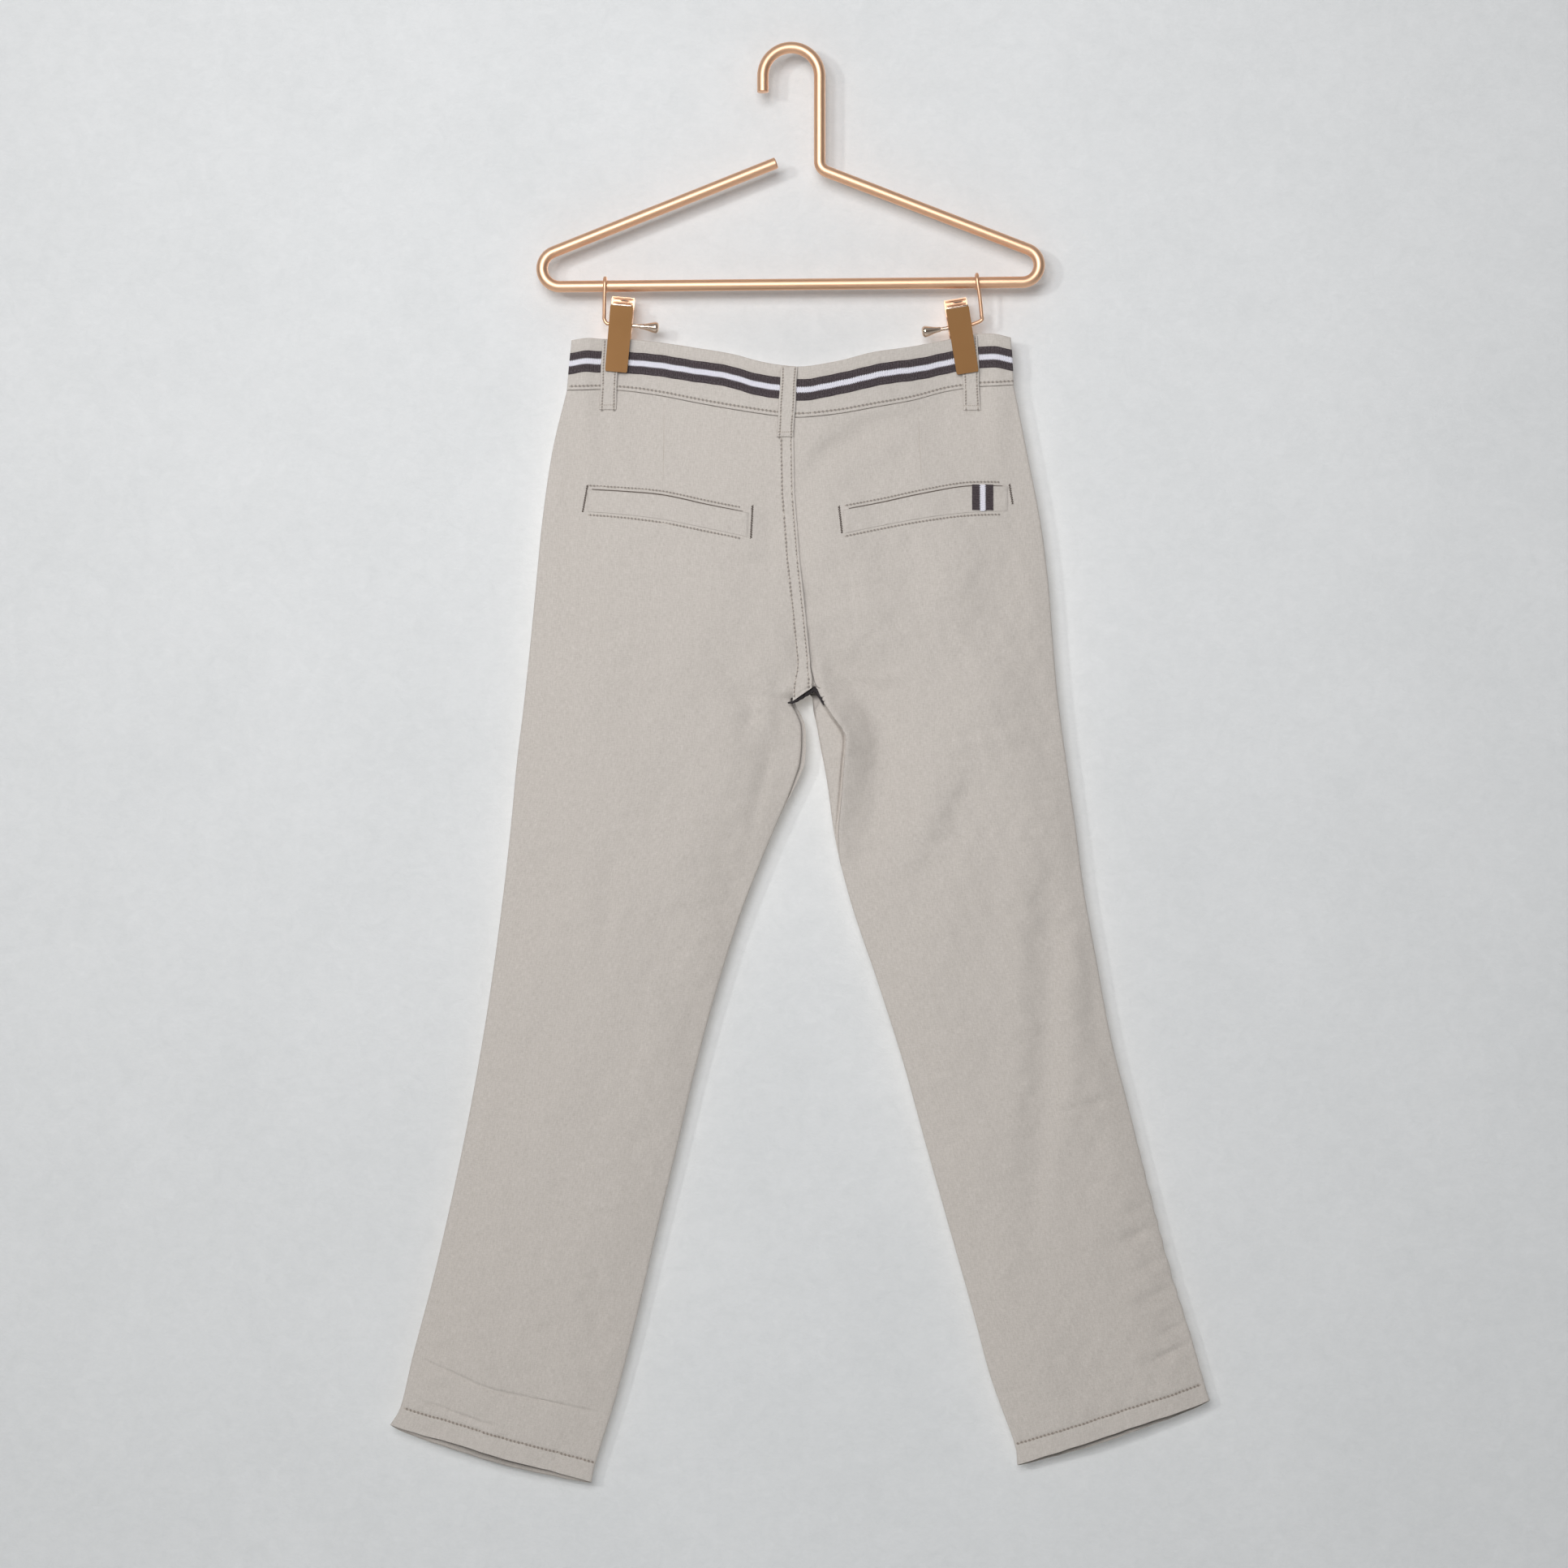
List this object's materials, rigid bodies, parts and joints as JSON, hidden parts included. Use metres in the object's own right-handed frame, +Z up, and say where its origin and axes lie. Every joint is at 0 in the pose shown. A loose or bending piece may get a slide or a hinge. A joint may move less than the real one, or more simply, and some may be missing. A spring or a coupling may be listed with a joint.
{
  "type": "trousers on a clip hanger",
  "caption": "Child's straight-leg linen trousers hanging nearly flat by the waistband from two clips on a bent metal rod hanger.",
  "frame": {"origin": "inside top of the hanger's hook, where a rail or nail carries it", "axes": "+Z up; -Y is the side that the garment's back faces, which the picture shows; +X to the wearer's right"},
  "size_m": [0.606, 0.0378, 1.0644],
  "materials": {
    "linen_cotton_twill": "slubby linen and cotton weave, matt, soft creases",
    "striped_grosgrain": "ribbed tape, dark, white and dark stripes of like width",
    "horn_button": "moulded button, satin",
    "satin_copper": "rose copper anodised, satin",
    "bronze_sheet": "pressed sheet, satin bronze plating"
  },
  "bodies": {
    "root": {"back_panel_left": "linen_cotton_twill", "back_panel_right": "linen_cotton_twill", "belt_loop_back_centre": "linen_cotton_twill", "belt_loop_back_left": "linen_cotton_twill", "belt_loop_back_right": "linen_cotton_twill", "belt_loop_front_left": "linen_cotton_twill", "belt_loop_front_right": "linen_cotton_twill", "clip_left_back_jaw": "bronze_sheet", "clip_left_front_jaw": "bronze_sheet", "clip_left_knob": "satin_copper", "clip_left_spring": "satin_copper", "clip_left_wire": "satin_copper", "clip_right_back_jaw": "bronze_sheet", "clip_right_front_jaw": "bronze_sheet", "clip_right_knob": "satin_copper", "clip_right_spring": "satin_copper", "clip_right_wire": "satin_copper", "fly_placket": "linen_cotton_twill", "front_panel_left": "linen_cotton_twill", "front_panel_right": "linen_cotton_twill", "front_pocket_edge_left": "linen_cotton_twill", "front_pocket_edge_right": "linen_cotton_twill", "hanger_rod": "satin_copper", "pocket_tab": "striped_grosgrain", "pocket_welt_left": "linen_cotton_twill", "pocket_welt_right": "linen_cotton_twill", "seat_seam": "linen_cotton_twill", "waist_button": "horn_button", "waist_tape_back": "striped_grosgrain", "waist_tape_front_left": "striped_grosgrain", "waist_tape_front_right": "striped_grosgrain", "waistband_back": "linen_cotton_twill", "waistband_front_left": "linen_cotton_twill", "waistband_front_right": "linen_cotton_twill"}
  },
  "joints": []
}
